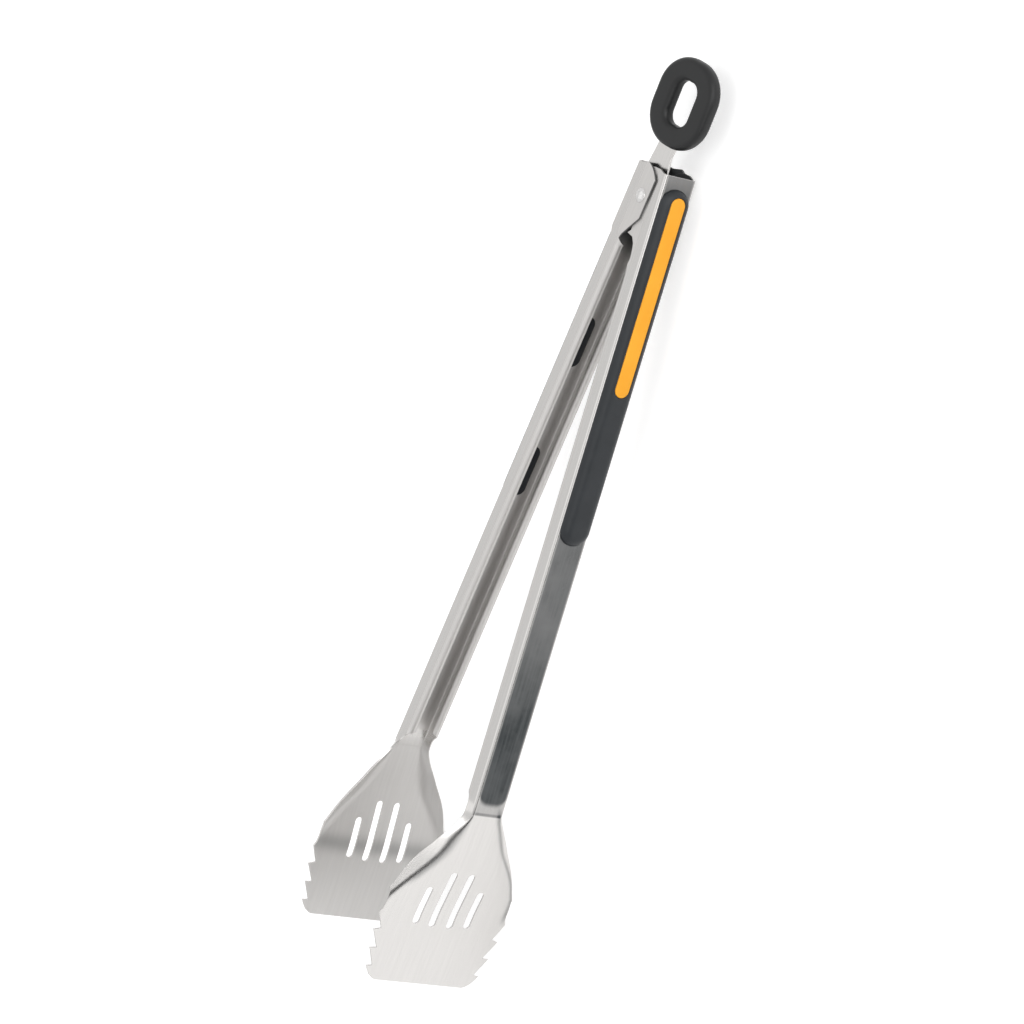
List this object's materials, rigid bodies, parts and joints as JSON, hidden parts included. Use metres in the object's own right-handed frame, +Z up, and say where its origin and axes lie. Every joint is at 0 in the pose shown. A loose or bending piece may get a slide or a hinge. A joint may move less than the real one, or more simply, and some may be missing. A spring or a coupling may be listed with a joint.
{
  "type": "spring loaded kitchen tongs",
  "caption": "Long steel tongs: two sprung channel arms with toothed, slotted scoop heads, rubber grips with orange inlays, and a lock strip with a rubber pull ring.",
  "frame": {"origin": "centre of the bounding box's bottom, with the tongs lying on their side at rest, open", "axes": "+X along the tongs from the heads to the pull ring; +Y across the opening, towards the rear (outer) arm; +Z up, along the pivot rivet"},
  "size_m": [0.4554, 0.0812, 0.0722],
  "materials": {
    "steel": "satin brushed stainless sheet",
    "rivet_steel": "bright turned",
    "spring_steel": "drawn wire",
    "black_rubber": "matt moulded",
    "grip_rubber": "matt moulded",
    "orange_inlay": "satin"
  },
  "bodies": {
    "rear": {"rear_arm": "steel", "rear_grip": "grip_rubber", "rear_grip_inlay": "orange_inlay", "pivot_rivet": "rivet_steel"},
    "front": {"front_arm": "steel", "front_grip": "grip_rubber", "front_grip_inlay": "orange_inlay"},
    "spring": {"torsion_spring": "spring_steel"},
    "lock": {"lock_strip": "steel", "pull_ring": "black_rubber"}
  },
  "joints": [
    {"name": "arm_hinge", "type": "hinge", "parent": "rear", "child": "front", "pos_m": [0.16032, 0.00013, 0.0361], "axis": [0, 0, -1], "range_deg": [0, 9.4], "stiffness_Nm_per_rad": 1.5, "springref_deg": -22.92, "deforming": ["torsion_spring"]},
    {"name": "spring_turn", "type": "hinge", "parent": "rear", "child": "spring", "pos_m": [0.16032, 0.00013, 0.0361], "axis": [0, 0, -1], "range_deg": [0, 4.7]},
    {"name": "lock_slide", "type": "slide", "parent": "spring", "child": "lock", "axis": [0.9986, -0.0523, 0], "range_m": [0, 0.009]}
  ],
  "couplings": [
    {"joint": "spring_turn", "follows": "arm_hinge", "ratio": 0.5}
  ]
}
